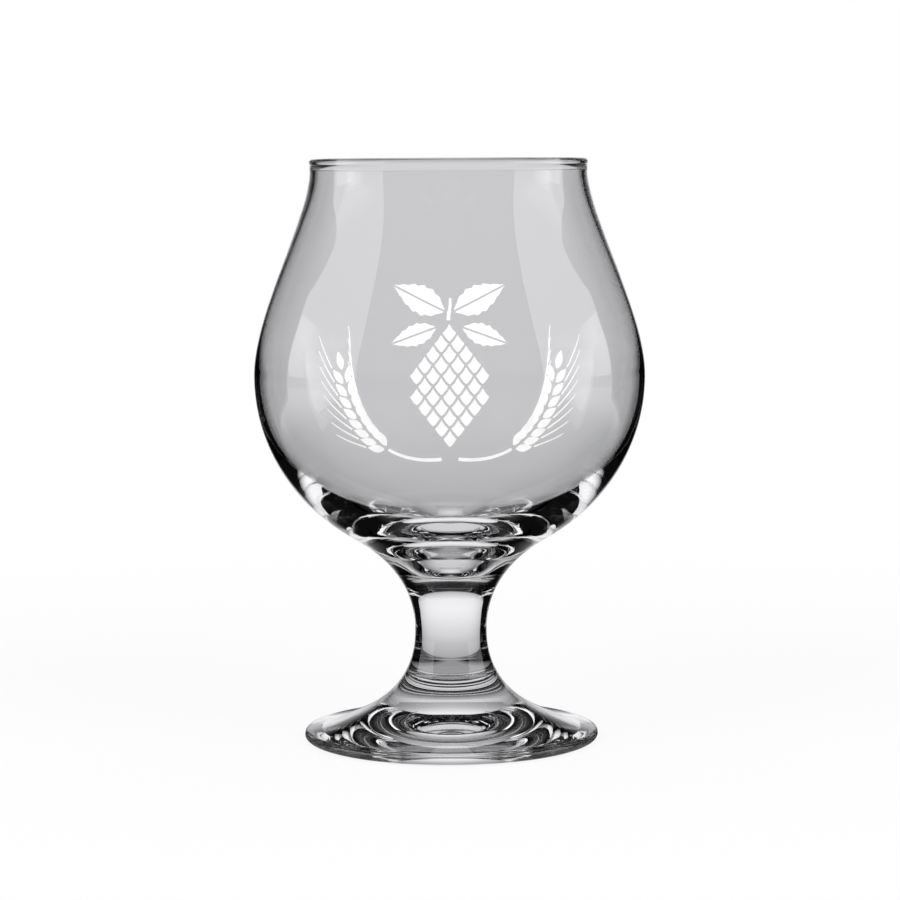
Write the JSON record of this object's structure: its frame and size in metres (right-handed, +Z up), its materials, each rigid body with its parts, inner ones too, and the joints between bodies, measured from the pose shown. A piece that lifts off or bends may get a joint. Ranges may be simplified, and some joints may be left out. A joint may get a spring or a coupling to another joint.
{
  "type": "tulip beer glass",
  "caption": "Clear stemmed tulip beer glass with a round belly, drawn-in neck, beaded lip, thick base, short waisted stem and wide flared foot.",
  "frame": {"origin": "centre of the foot, on the table", "axes": "+Z up along the axis of the glass; -Y is the side that the picture shows"},
  "size_m": [0.098, 0.098, 0.1461],
  "materials": {
    "clear_glass": "clear polished soda-lime glass"
  },
  "bodies": {
    "root": {"bowl": "clear_glass", "stem": "clear_glass", "foot": "clear_glass"}
  },
  "joints": []
}
